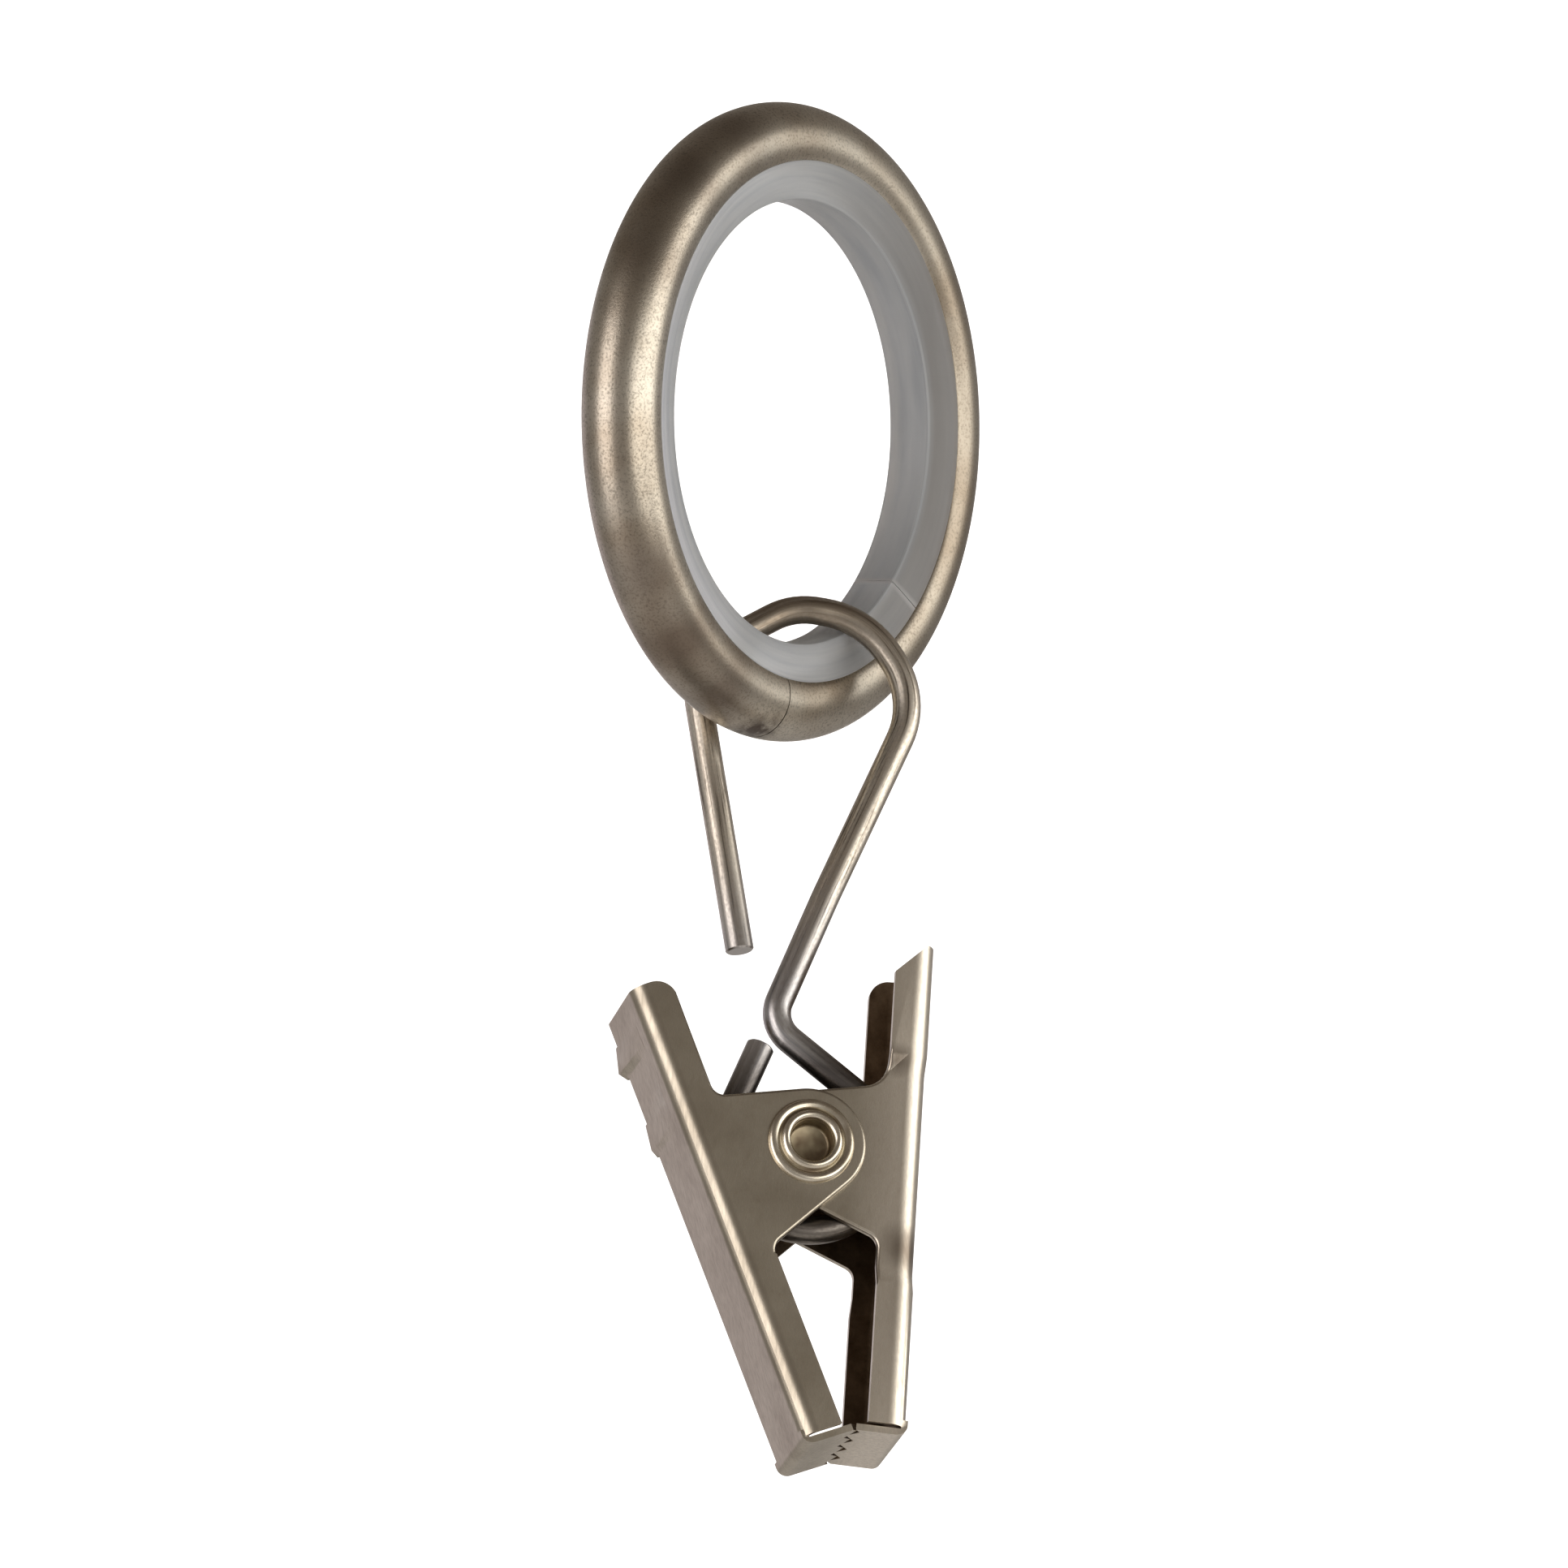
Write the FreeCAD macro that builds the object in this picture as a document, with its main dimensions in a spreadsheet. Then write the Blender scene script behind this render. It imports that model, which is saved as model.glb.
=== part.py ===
"""Curtain ring with a swinging spring clip.

A sheet metal ring with a plastic glide liner carries an open wire hook. The eye of the hook lies
between the ears of a spring clip, which is made of two folded sheet jaws on one rivet.

Frame: the origin is the centre of the ring, Y is the axis of the rod, -Y is the front, +Z is up.
"""
import FreeCAD
import Part
import Sketcher
import math
import os
import re

# Driving dimensions: alias, value in millimetres or degrees, meaning
SIZES = [
    ("ring_od", 47.0, "outside diameter of the ring"),
    ("tube_dia", 5.8, "outside diameter of the rolled tube"),
    ("ring_sheet", 0.7, "sheet thickness of the ring"),
    ("lip_angle", 62.0, "half angle of the slot, seen from the centre of the tube"),
    ("seam_gap", 0.15, "gap of the butt seam in the ring"),
    ("seam_angle", 9.5, "seam, turned from the bottom towards -X"),
    ("liner_reach", 7.2, "depth from the outside of the ring to the bore of the liner"),
    ("liner_face", 3.5, "width of the running face of the liner"),
    ("liner_fit", 0.05, "clearance of the liner in the slot"),
    ("liner_barb", 0.12, "how far the snap barb reaches behind a lip"),
    ("liner_root", 0.7, "reach of the root of the liner past the middle of the tube"),
    ("liner_toe", 2.2, "width of the end of the root of the liner"),
    ("liner_split", 0.3, "gap of the split in the liner"),
    ("liner_split_angle", 45.0, "split, turned from the bottom towards +X"),
    ("hook_yaw", -42.2, "turn of the hook and clip about the vertical"),
    ("hook_tilt", -19.45, "lean of the hook and clip, tip towards the front"),
    ("hook_roll", 4.25, "roll of the hook in its own plane"),
    ("clip_roll", -4.35, "roll of the clip in the plane of the hook"),
    ("hook_side", 1.29, "offset of the pivot to the right of the tube, along the hook"),
    ("hook_front", 0.48, "offset of the hook plane in front of the tube"),
    ("hook_reach", 34.77, "height of the tube above the pivot, along the hook"),
    ("hook_room", 2.33, "room between the liner and the top run of the arch"),
    ("wire_dia", 2.0, "hook wire diameter"),
    ("eye_radius", 6.05, "eye of the hook, to the middle of the wire"),
    ("hook_left", 8.6, "left corner of the arch, to the left of the pivot"),
    ("hook_right", 8.1, "right shoulder of the arch, to the right of the pivot"),
    ("arch_left", 3.2, "left end of the top run of the arch"),
    ("arch_right", 5.6, "right end of the top run of the arch"),
    ("arch_drop", 5.2, "left corner of the arch below its top run"),
    ("arch_fall", 0.8, "fall of the top run of the arch to the right"),
    ("shoulder_drop", 6.65, "right shoulder below the top run of the arch"),
    ("open_end_height", 15.0, "open end of the hook above the pivot"),
    ("open_end_side", 5.1, "open end of the hook to the left of the pivot"),
    ("kink_height", 9.6, "corner of the kink above the pivot"),
    ("kink_side", 2.55, "corner of the kink to the left of the pivot"),
    ("stub_height", 7.85, "stub end of the hook above the pivot"),
    ("stub_side", 3.2, "stub end of the hook to the left of the pivot"),
    ("arch_bend", 5.2, "bend radius of the corners of the arch"),
    ("shoulder_bend", 2.2, "bend radius of the right shoulder"),
    ("kink_bend", 2.5, "bend radius of the kink"),
    ("clip_depth", 9.6, "depth of the clip from front to back"),
    ("jaw_angle", 12.3, "lean of each jaw"),
    ("jaw_sheet", 0.5, "sheet thickness of the jaws"),
    ("outer_fold", 1.3, "outside radius of the long folds of the outer jaw"),
    ("inner_fold", 1.6, "outside radius of the long folds of the inner jaw"),
    ("tab_fold", 0.8, "outside radius of the fold at an end tab"),
    ("web_offset", 8.5, "pivot to the outside of a web"),
    ("arm_length", 21.2, "pivot to the tip of a jaw"),
    ("outer_handle", 14.85, "pivot to the end of the handle of the outer jaw"),
    ("inner_handle", 16.3, "pivot to the end of the handle of the inner jaw"),
    ("flange_width", 3.0, "width of the flanges along the webs"),
    ("flange_corner", 2.4, "cut corner at the end of a handle"),
    ("flange_round", 1.5, "round corner at the end of a handle"),
    ("ear_radius", 4.1, "round end of the ears"),
    ("ear_slope", 21.2, "lower edge of the ears against the web's normal"),
    ("ear_fillet", 1.0, "fillet between an ear and a flange"),
    ("inner_ear_fillet", 2.0, "upper fillet between an ear and a flange of the inner jaw"),
    ("ear_gap", 0.1, "clearance between the nested ears"),
    ("waist_top", 6.4, "top of the pinched part of the inner jaw"),
    ("waist_bottom", 8.6, "bottom of the pinched part of the inner jaw, below the pivot"),
    ("waist_ramp", 1.3, "length of the ramps of the pinched part"),
    ("tab_width", 8.6, "width of the end tabs"),
    ("tab_slit", 0.15, "slit between a flange and an end tab"),
    ("tooth_depth", 0.8, "depth of the teeth of the end tabs"),
    ("tooth_gap", 0.2, "clearance between the teeth of the closed jaws"),
    ("rib_upper", 11.15, "crest of the upper thumb rib above the pivot"),
    ("rib_lower", 4.95, "crest of the lower thumb rib above the pivot"),
    ("rib_upper_height", 0.5, "height of the upper thumb rib at the back of the web"),
    ("rib_lower_height", 0.25, "height of the lower thumb rib at the back of the web"),
    ("rib_rise", 1.9, "slow rise of a thumb rib, above its crest"),
    ("rib_drop", 0.65, "steep side of a thumb rib, under its crest"),
    ("rib_run", 6.5, "run over which a thumb rib fades out towards the front"),
    ("rivet_dia", 4.4, "shank diameter of the rivet"),
    ("rivet_hole", 3.2, "blind hole of the rivet"),
    ("rivet_hole_depth", 1.7, "depth of the blind hole, from the crest of the rim"),
    ("rivet_rim", 6.4, "outside diameter of the front flange and of the head"),
    ("rivet_flange", 0.42, "height of the front flange"),
    ("rivet_collar", 4.7, "outside diameter of the rolled collar"),
    ("rivet_roll", 0.75, "height of the rolled collar above the jaw"),
    ("rivet_round", 0.3, "rounding of the flange and of the collar"),
    ("rivet_head", 0.8, "thickness of the back head"),
    ("rivet_fit", 0.03, "radial clearance of the rivet in the outer jaw"),
    ("rivet_run", 0.06, "radial clearance of the rivet in the inner jaw"),
    ("eye_clear", 0.2, "clearance between the eye of the hook and the inner ears"),
    ("spring_wire", 0.5, "spring wire diameter"),
    ("spring_fit", 0.4, "radial clearance between the spring and the rivet"),
    ("spring_turns", 3.0, "turns of the spring"),
    ("spring_clear", 0.3, "clearance between the front leg of the spring and the eye of the hook"),
    ("spring_back", 1.4, "clearance between the back leg of the spring and the inner jaw"),
    ("spring_seat", 0.1, "clearance between a spring leg and its web"),
]
ALIASES = {alias for alias, _, _ in SIZES}
TEETH = 4
RIB_FADE = 50

# Worked-out sizes, as formulas of the sheet
RING_R = "((ring_od - tube_dia) / 2)"
TUBE_R = "(tube_dia / 2)"
SEAT_R = "(tube_dia / 2 - ring_sheet)"
LINER_R = "(ring_od / 2 - liner_reach)"
FLANGE_X = "(flange_width - web_offset)"
FLANGE_END = "(jaw_sheet + tab_slit - arm_length)"
WAIST = "(jaw_sheet + ear_gap)"
INNER_FACE = "(clip_depth / 2 - jaw_sheet - ear_gap - jaw_sheet)"
EYE_Y = f"({INNER_FACE} - eye_clear - wire_dia / 2)"
ARCH_TOP = f"(hook_reach + {RING_R} - {LINER_R} + hook_room + wire_dia / 2)"

doc = FreeCAD.newDocument("curtain_ring")
sheet = doc.addObject("Spreadsheet::Sheet", "Sizes")
for row, (alias, value, meaning) in enumerate(SIZES, 1):
    sheet.set(f"A{row}", meaning)
    sheet.set(f"B{row}", str(value))
    sheet.setAlias(f"B{row}", alias)
doc.recompute()


def formula(text):
    """Turn plain alias words into references to the sheet."""
    return re.sub(r"[a-z_]+", lambda word: f"Sizes.{word[0]}" if word[0] in ALIASES else word[0], text)


def size(text):
    """The present value of a formula of the sheet."""
    return float(sheet.evalExpression(formula(text)))


def bind(feature, prop, text):
    """Tie a property of a feature to a formula of the sheet."""
    feature.setExpression(prop, formula(text))


def new_body(name):
    """A body whose label names its sub-part."""
    body = doc.addObject("PartDesign::Body", name)
    body.Label = name
    return body


def origin_feature(body, role):
    """One of the origin planes or axes of a body."""
    return next(item for item in body.Origin.OriginFeatures if item.Role == role)


def new_sketch(body, name, plane, offset="0"):
    """A sketch on an origin plane of its body, moved along the plane's normal."""
    sketch = body.newObject("Sketcher::SketchObject", name)
    sketch.AttachmentSupport = [(origin_feature(body, plane), "")]
    sketch.MapMode = "FlatFace"
    if offset != "0":
        bind(sketch, "AttachmentOffset.Base.z", offset)
    return sketch


def pin(sketch, geometry, end, x, z):
    """Hold a point of a sketch at two formulas."""
    for kind, text in (("DistanceX", x), ("DistanceY", z)):
        index = sketch.addConstraint(Sketcher.Constraint(kind, -1, 1, geometry, end, size(text)))
        sketch.setExpression(f"Constraints[{index}]", formula(text))


def pin_radius(sketch, geometry, radius):
    """Hold the radius of an arc or circle at a formula."""
    index = sketch.addConstraint(Sketcher.Constraint("Radius", geometry, size(radius)))
    sketch.setExpression(f"Constraints[{index}]", formula(radius))


def polygon(sketch, corners, first=0):
    """A closed outline of straight lines through corners given as formulas."""
    points = [FreeCAD.Vector(size(x), size(z), 0) for x, z in corners]
    count = len(corners)
    for index in range(count):
        sketch.addGeometry(Part.LineSegment(points[index], points[(index + 1) % count]))
    for index, (x, z) in enumerate(corners):
        following = first + (index + 1) % count
        sketch.addConstraint(Sketcher.Constraint("Coincident", first + index, 2, following, 1))
        pin(sketch, first + index, 1, x, z)


def circle(sketch, x, z, radius):
    """A circle given by formulas."""
    centre = FreeCAD.Vector(size(x), size(z), 0)
    index = sketch.addGeometry(Part.Circle(centre, FreeCAD.Vector(0, 0, 1), size(radius)))
    pin(sketch, index, 3, x, z)
    pin_radius(sketch, index, radius)


def pad(body, sketch, length, midplane=True):
    """A pad of a sketch, to both sides or along the sketch's normal."""
    feature = body.newObject("PartDesign::Pad", f"{sketch.Name}_pad")
    feature.Profile = sketch
    feature.SideType = "Symmetric" if midplane else "One side"
    bind(feature, "Length", length)
    return feature


def pocket(body, sketch, both_sides=True):
    """A pocket of a sketch through all, to both sides or along the sketch's normal."""
    feature = body.newObject("PartDesign::Pocket", f"{sketch.Name}_pocket")
    feature.Profile = sketch
    feature.Type = "ThroughAll"
    if both_sides:
        feature.SideType = "Symmetric"
    else:
        feature.Reversed = True
    return feature


def revolve(body, sketch, angle):
    """A revolution about the Y axis of the body, to both sides of the sketch."""
    feature = body.newObject("PartDesign::Revolution", f"{sketch.Name}_turn")
    feature.Profile = sketch
    feature.ReferenceAxis = (origin_feature(body, "Y_Axis"), [""])
    feature.Midplane = True
    bind(feature, "Angle", angle)
    return feature


def edges_at(base, points, reach=0.02):
    """Names of the edges of a feature that pass through the given points."""
    names = set()
    for point in points:
        vertex = Part.Vertex(FreeCAD.Vector(*point))
        for index, edge in enumerate(base.Shape.Edges, 1):
            if edge.distToShape(vertex)[0] < reach:
                names.add(f"Edge{index}")
    return sorted(names)


def soften(body, kind, points, radius):
    """A fillet or chamfer on the edges of a body that pass through the given points."""
    doc.recompute()
    base = body.Tip
    feature = body.newObject(f"PartDesign::{kind}", f"{body.Name}_{kind.lower()}")
    feature.Base = (base, edges_at(base, points))
    bind(feature, "Radius" if kind == "Fillet" else "Size", radius)
    doc.recompute()
    return feature


def turn(axis, angle):
    """A turn about an axis by an angle in degrees."""
    return FreeCAD.Rotation(axis, angle)


# Frames of the hook and of the clip
X_AXIS = FreeCAD.Vector(1, 0, 0)
Y_AXIS = FreeCAD.Vector(0, 1, 0)
Z_AXIS = FreeCAD.Vector(0, 0, 1)
lean = turn(Z_AXIS, size("hook_yaw")) * turn(X_AXIS, size("hook_tilt"))
hook_turn = lean * turn(Y_AXIS, size("hook_roll"))
tube_bottom = FreeCAD.Vector(0, 0, -size(RING_R))
tube_in_hook = FreeCAD.Vector(-size("hook_side"), size("hook_front"), size("hook_reach"))
pivot = tube_bottom - hook_turn.multVec(tube_in_hook)
hook_frame = FreeCAD.Placement(pivot, hook_turn)
clip_centre = pivot + lean.multVec(FreeCAD.Vector(0, size(EYE_Y), 0))
clip_frame = FreeCAD.Placement(clip_centre, lean * turn(Y_AXIS, size("clip_roll")))


def ring_shell():
    """Ring rolled from sheet: a C section with its slot inwards, butted at the seam."""
    body = new_body("ring_shell")
    sketch = new_sketch(body, "shell_section", "XY_Plane")
    centre = FreeCAD.Vector(size(RING_R), 0, 0)
    half = math.radians(180 - size("lip_angle"))
    for radius in (TUBE_R, SEAT_R):
        arc = Part.Circle(centre, Z_AXIS, size(radius))
        index = sketch.addGeometry(Part.ArcOfCircle(arc, -half, half))
        pin(sketch, index, 3, RING_R, "0")
        pin_radius(sketch, index, radius)
        lip = f"{radius} * sin(lip_angle)"
        for end, sign in ((1, "-"), (2, "")):
            side = sketch.addConstraint(
                Sketcher.Constraint("DistanceY", -1, 1, index, end, size(f"{sign}{lip}")))
            sketch.setExpression(f"Constraints[{side}]", formula(f"{sign}{lip}"))
    for end in (1, 2):
        outer = sketch.getPoint(0, end)
        inner = sketch.getPoint(1, end)
        line = sketch.addGeometry(Part.LineSegment(outer, inner))
        sketch.addConstraint(Sketcher.Constraint("Coincident", line, 1, 0, end))
        sketch.addConstraint(Sketcher.Constraint("Coincident", line, 2, 1, end))
    revolve(body, sketch, f"360 - 2 * asin(seam_gap / (2 * {RING_R})) / 1deg")
    body.Placement = FreeCAD.Placement(FreeCAD.Vector(), turn(Y_AXIS, size("seam_angle") - 90))
    return body


def ring_liner():
    """Glide liner: a tapered running head on the lips and a barbed root behind them, split once."""
    body = new_body("ring_liner")
    sketch = new_sketch(body, "liner_section", "XY_Plane")
    shoulder = f"({RING_R} - {TUBE_R} * cos(lip_angle) - liner_fit)"
    throat = f"({RING_R} - {SEAT_R} * cos(lip_angle) - liner_fit)"
    lip_half = f"({TUBE_R} * sin(lip_angle))"
    throat_half = f"({SEAT_R} * sin(lip_angle) - liner_fit)"
    barb = f"({RING_R} - {SEAT_R} * cos(lip_angle) + 2 * liner_fit)"
    half = [
        (LINER_R, "(liner_face / 2)"),
        (shoulder, lip_half),
        (throat, throat_half),
        (barb, throat_half),
        (f"({barb} + liner_barb)", f"({throat_half} + liner_barb)"),
        (f"({RING_R} + liner_root)", "(liner_toe / 2)"),
    ]
    mirrored = [(x, f"-{z}") for x, z in reversed(half)]
    polygon(sketch, half + mirrored)
    revolve(body, sketch, f"360 - 2 * asin(liner_split / (2 * {LINER_R})) / 1deg")
    body.Placement = FreeCAD.Placement(FreeCAD.Vector(), turn(Y_AXIS, -90 - size("liner_split_angle")))
    return body


def bent_runs(sketch, corners):
    """Straight runs joined by tangent bends: corners are (x, z, bend radius), the last end is free."""
    points = [FreeCAD.Vector(size(x), size(z), 0) for x, z, _ in corners]
    starts = [points[0]]
    ends = []
    bends = []
    for index in range(1, len(points) - 1):
        corner = points[index]
        bend = size(corners[index][2])
        back = (points[index - 1] - corner).normalize()
        ahead = (points[index + 1] - corner).normalize()
        half = back.getAngle(ahead) / 2
        inward = (back + ahead).normalize()
        ends.append(corner + back * (bend / math.tan(half)))
        starts.append(corner + ahead * (bend / math.tan(half)))
        crown = corner + inward * (bend / math.sin(half) - bend)
        bends.append(Part.Arc(ends[-1], crown, starts[-1]))
    ends.append(points[-1])
    for start, end in zip(starts, ends):
        sketch.addGeometry(Part.LineSegment(start, end))
    pin(sketch, 0, 1, *corners[0][:2])
    for index, bend in enumerate(bends):
        x, z, radius = corners[index + 1]
        corner = sketch.addGeometry(Part.Point(points[index + 1]), True)
        pin(sketch, corner, 1, x, z)
        sketch.addConstraint(Sketcher.Constraint("PointOnObject", corner, 1, index))
        sketch.addConstraint(Sketcher.Constraint("PointOnObject", corner, 1, index + 1))
        arc = sketch.addGeometry(bend)
        first = nearer_end(sketch, arc, ends[index])
        sketch.addConstraint(Sketcher.Constraint("Tangent", index, 2, arc, first))
        sketch.addConstraint(Sketcher.Constraint("Tangent", index + 1, 1, arc, 3 - first))
        pin_radius(sketch, arc, radius)
    return len(starts) - 1


def nearer_end(sketch, arc, point):
    """The end of an arc that lies at a point: 1 for its start, 2 for its end."""
    gaps = [sketch.getPoint(arc, end).distanceToPoint(point) for end in (1, 2)]
    return 1 if gaps[0] < gaps[1] else 2


def tangent_point(x, z, radius, side):
    """Where a line from (x, z) touches a circle about the origin, turned to one side of that point."""
    angle = math.atan2(z, x) + side * math.acos(radius / math.hypot(x, z))
    return FreeCAD.Vector(radius * math.cos(angle), radius * math.sin(angle), 0)


def hook_wire():
    """Open hook over the ring, kinked, with an eye round the pivot and a stub end."""
    body = new_body("hook_wire")
    path = new_sketch(body, "hook_path", "XZ_Plane")
    radius = size("eye_radius")
    touch = tangent_point(-size("kink_side"), size("kink_height"), radius, -1)
    leave = tangent_point(-size("stub_side"), size("stub_height"), radius, 1)
    last_run = bent_runs(path, [
        ("-open_end_side", "open_end_height", "0"),
        ("-hook_left", f"{ARCH_TOP} - arch_drop", "arch_bend"),
        ("-arch_left", ARCH_TOP, "arch_bend"),
        ("arch_right", f"{ARCH_TOP} - arch_fall", "arch_bend"),
        ("hook_right", f"{ARCH_TOP} - shoulder_drop", "shoulder_bend"),
        ("-kink_side", "kink_height", "kink_bend"),
        (str(touch.x), str(touch.y), "0"),
    ])
    eye = path.addGeometry(Part.Arc(touch, FreeCAD.Vector(0, -radius, 0), leave))
    first = nearer_end(path, eye, touch)
    path.addConstraint(Sketcher.Constraint("Coincident", eye, 3, -1, 1))
    path.addConstraint(Sketcher.Constraint("Tangent", last_run, 2, eye, first))
    pin_radius(path, eye, "eye_radius")
    end = FreeCAD.Vector(-size("stub_side"), size("stub_height"), 0)
    stub = path.addGeometry(Part.LineSegment(leave, end))
    path.addConstraint(Sketcher.Constraint("Tangent", stub, 1, eye, 3 - first))
    pin(path, stub, 2, "-stub_side", "stub_height")
    doc.recompute()
    section = body.newObject("Sketcher::SketchObject", "hook_section")
    section.AttachmentSupport = [(path, "Edge1")]
    section.MapMode = "NormalToEdge"
    circle(section, "0", "0", "wire_dia / 2")
    pipe = body.newObject("PartDesign::AdditivePipe", "hook_pipe")
    pipe.Profile = section
    pipe.Spine = path
    body.Placement = hook_frame
    return body


def jaw(name, handle, fold, upper_fillet, hole_fit, waist="0"):
    """Folded jaw: web at -X, flanges at the front and back, ears round the pivot, toothed tab at the tip."""
    body = new_body(name)
    top_x = "ear_radius * sin(jaw_angle)"
    top_z = "ear_radius * cos(jaw_angle)"
    low_x = "ear_radius * sin(ear_slope)"
    low_z = "-ear_radius * cos(ear_slope)"
    upper_root = f"({top_z} + ({top_x} - {FLANGE_X}) * tan(jaw_angle))"
    lower_root = f"({low_z} - ({low_x} - {FLANGE_X}) * tan(ear_slope))"
    side = new_sketch(body, f"{name}_side", "XZ_Plane")
    ear_outline(side, [
        (low_x, low_z),
        (FLANGE_X, lower_root),
        (FLANGE_X, FLANGE_END),
        ("-web_offset", FLANGE_END),
        ("-web_offset", handle),
        (FLANGE_X, handle),
        (FLANGE_X, upper_root),
        (top_x, top_z),
    ])
    pad(body, side, "clip_depth")
    for root, fillet in ((upper_root, upper_fillet), (lower_root, "ear_fillet")):
        soften(body, "Fillet", [(size(FLANGE_X), 0, size(root))], fillet)
    if waist != "0":
        pinch(body, waist)
    fold_edges = plan_middles("-web_offset", "0", handle, waist)
    soften(body, "Fillet", fold_edges, fold)
    core = new_sketch(body, f"{name}_core", "YZ_Plane", "jaw_sheet - web_offset")
    core_half = plan_corners("jaw_sheet", handle, waist)
    polygon(core, core_half + [(f"-{y}", z) for y, z in reversed(core_half)])
    pocket(body, core, both_sides=False)
    inner_edges = plan_middles("jaw_sheet - web_offset", "jaw_sheet", handle, waist)
    soften(body, "Fillet", inner_edges, f"{fold} - jaw_sheet")
    tip(body)
    hole = new_sketch(body, f"{name}_hole", "XZ_Plane")
    circle(hole, "0", "0", f"rivet_dia / 2 + {hole_fit}")
    pocket(body, hole)
    flange_y = size("clip_depth / 2 - jaw_sheet / 2")
    soften(body, "Fillet", [(size(FLANGE_X), -flange_y, size(handle))], "flange_round")
    soften(body, "Chamfer", [(size(FLANGE_X), flange_y, size(handle))], "flange_corner")
    return body


def ear_outline(sketch, corners):
    """A closed outline of straight lines whose last and first corners are joined by the ear's arc."""
    points = [FreeCAD.Vector(size(x), size(z), 0) for x, z in corners]
    lines = len(points) - 1
    for start, end in zip(points, points[1:]):
        sketch.addGeometry(Part.LineSegment(start, end))
    for index, (x, z) in enumerate(corners[:-1]):
        pin(sketch, index, 1, x, z)
        if index:
            sketch.addConstraint(Sketcher.Constraint("Coincident", index - 1, 2, index, 1))
    pin(sketch, lines - 1, 2, *corners[-1])
    arc = sketch.addGeometry(Part.Arc(points[-1], FreeCAD.Vector(size("ear_radius"), 0, 0), points[0]))
    first = nearer_end(sketch, arc, points[-1])
    sketch.addConstraint(Sketcher.Constraint("Coincident", arc, first, lines - 1, 2))
    sketch.addConstraint(Sketcher.Constraint("Coincident", arc, 3 - first, 0, 1))
    pin_radius(sketch, arc, "ear_radius")


def plan_corners(inset, handle, waist):
    """Half of a jaw's plan from tip to handle as (depth, height), moved inwards and pinched at the waist."""
    wide = f"(clip_depth / 2 - {inset})"
    narrow = f"(clip_depth / 2 - {inset} - {waist})"
    if waist == "0":
        return [(wide, "-arm_length"), (wide, f"{handle} + jaw_sheet")]
    return [
        (wide, "-arm_length"),
        (wide, "-waist_bottom - waist_ramp"),
        (narrow, "-waist_bottom"),
        (narrow, "waist_top"),
        (wide, "waist_top + waist_ramp"),
        (wide, f"{handle} + jaw_sheet"),
    ]


def plan_middles(x, inset, handle, waist):
    """Points in the middle of each stretch of the front and back folds of a jaw."""
    corners = [(size(y), size(z)) for y, z in plan_corners(inset, handle, waist)]
    middles = []
    for (y_low, z_low), (y_high, z_high) in zip(corners, corners[1:]):
        for side in (-1, 1):
            middles.append((size(x), side * (y_low + y_high) / 2, (z_low + z_high) / 2))
    return middles


def pinch(body, waist):
    """Press the front and back of a jaw inwards round the pivot."""
    sketch = new_sketch(body, f"{body.Name}_pinch", "YZ_Plane")
    for first, sign in ((0, ""), (4, "-")):
        face = f"{sign}(clip_depth / 2)"
        floor = f"{sign}(clip_depth / 2 - {waist})"
        polygon(sketch, [
            (face, "-waist_bottom - waist_ramp"),
            (floor, "-waist_bottom"),
            (floor, "waist_top"),
            (face, "waist_top + waist_ramp"),
        ], first)
    pocket(body, sketch)


def tip(body):
    """Carry the web on past the flanges and fold it inwards into a toothed tab."""
    strip = new_sketch(body, f"{body.Name}_strip", "XZ_Plane")
    polygon(strip, [
        ("-web_offset", "-arm_length"),
        ("jaw_sheet - web_offset", "-arm_length"),
        ("jaw_sheet - web_offset", f"{FLANGE_END} + jaw_sheet"),
        ("-web_offset", f"{FLANGE_END} + jaw_sheet"),
    ])
    pad(body, strip, "tab_width")
    tab = new_sketch(body, f"{body.Name}_tab", "XY_Plane", "-arm_length")
    meeting = "(-arm_length * tan(jaw_angle) - tooth_gap / 2)"
    outline = [
        ("-web_offset", "tab_width / 2"),
        ("-web_offset", "-tab_width / 2"),
        (meeting, "-tab_width / 2"),
    ]
    for flank in range(2 * TEETH):
        reach = "-" if flank % 2 else "+"
        across = f"(({2 * flank + 1} / {4 * TEETH} - 0.5) * tab_width)"
        outline.append((f"{meeting} {reach} tooth_depth / 2", across))
    outline.append((meeting, "tab_width / 2"))
    polygon(tab, outline)
    pad(body, tab, "jaw_sheet", midplane=False)
    soften(body, "Fillet", [(-size("web_offset"), 0, -size("arm_length"))], "tab_fold")


def thumb_ribs(body):
    """Two saw-tooth ribs pressed out of the web of a handle, highest at the back, fading to the front."""
    back = "(clip_depth / 2 - outer_fold / 2)"
    front = f"({back} - rib_run)"
    hollow_back = "(clip_depth / 2 - outer_fold)"
    for rib in ("rib_upper", "rib_lower"):
        rib_loft(body, rib, "Additive", "-web_offset", "jaw_sheet / 2", (back, front))
        rib_loft(body, rib, "Subtractive", "jaw_sheet - web_offset", "jaw_sheet", (hollow_back, front))


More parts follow.
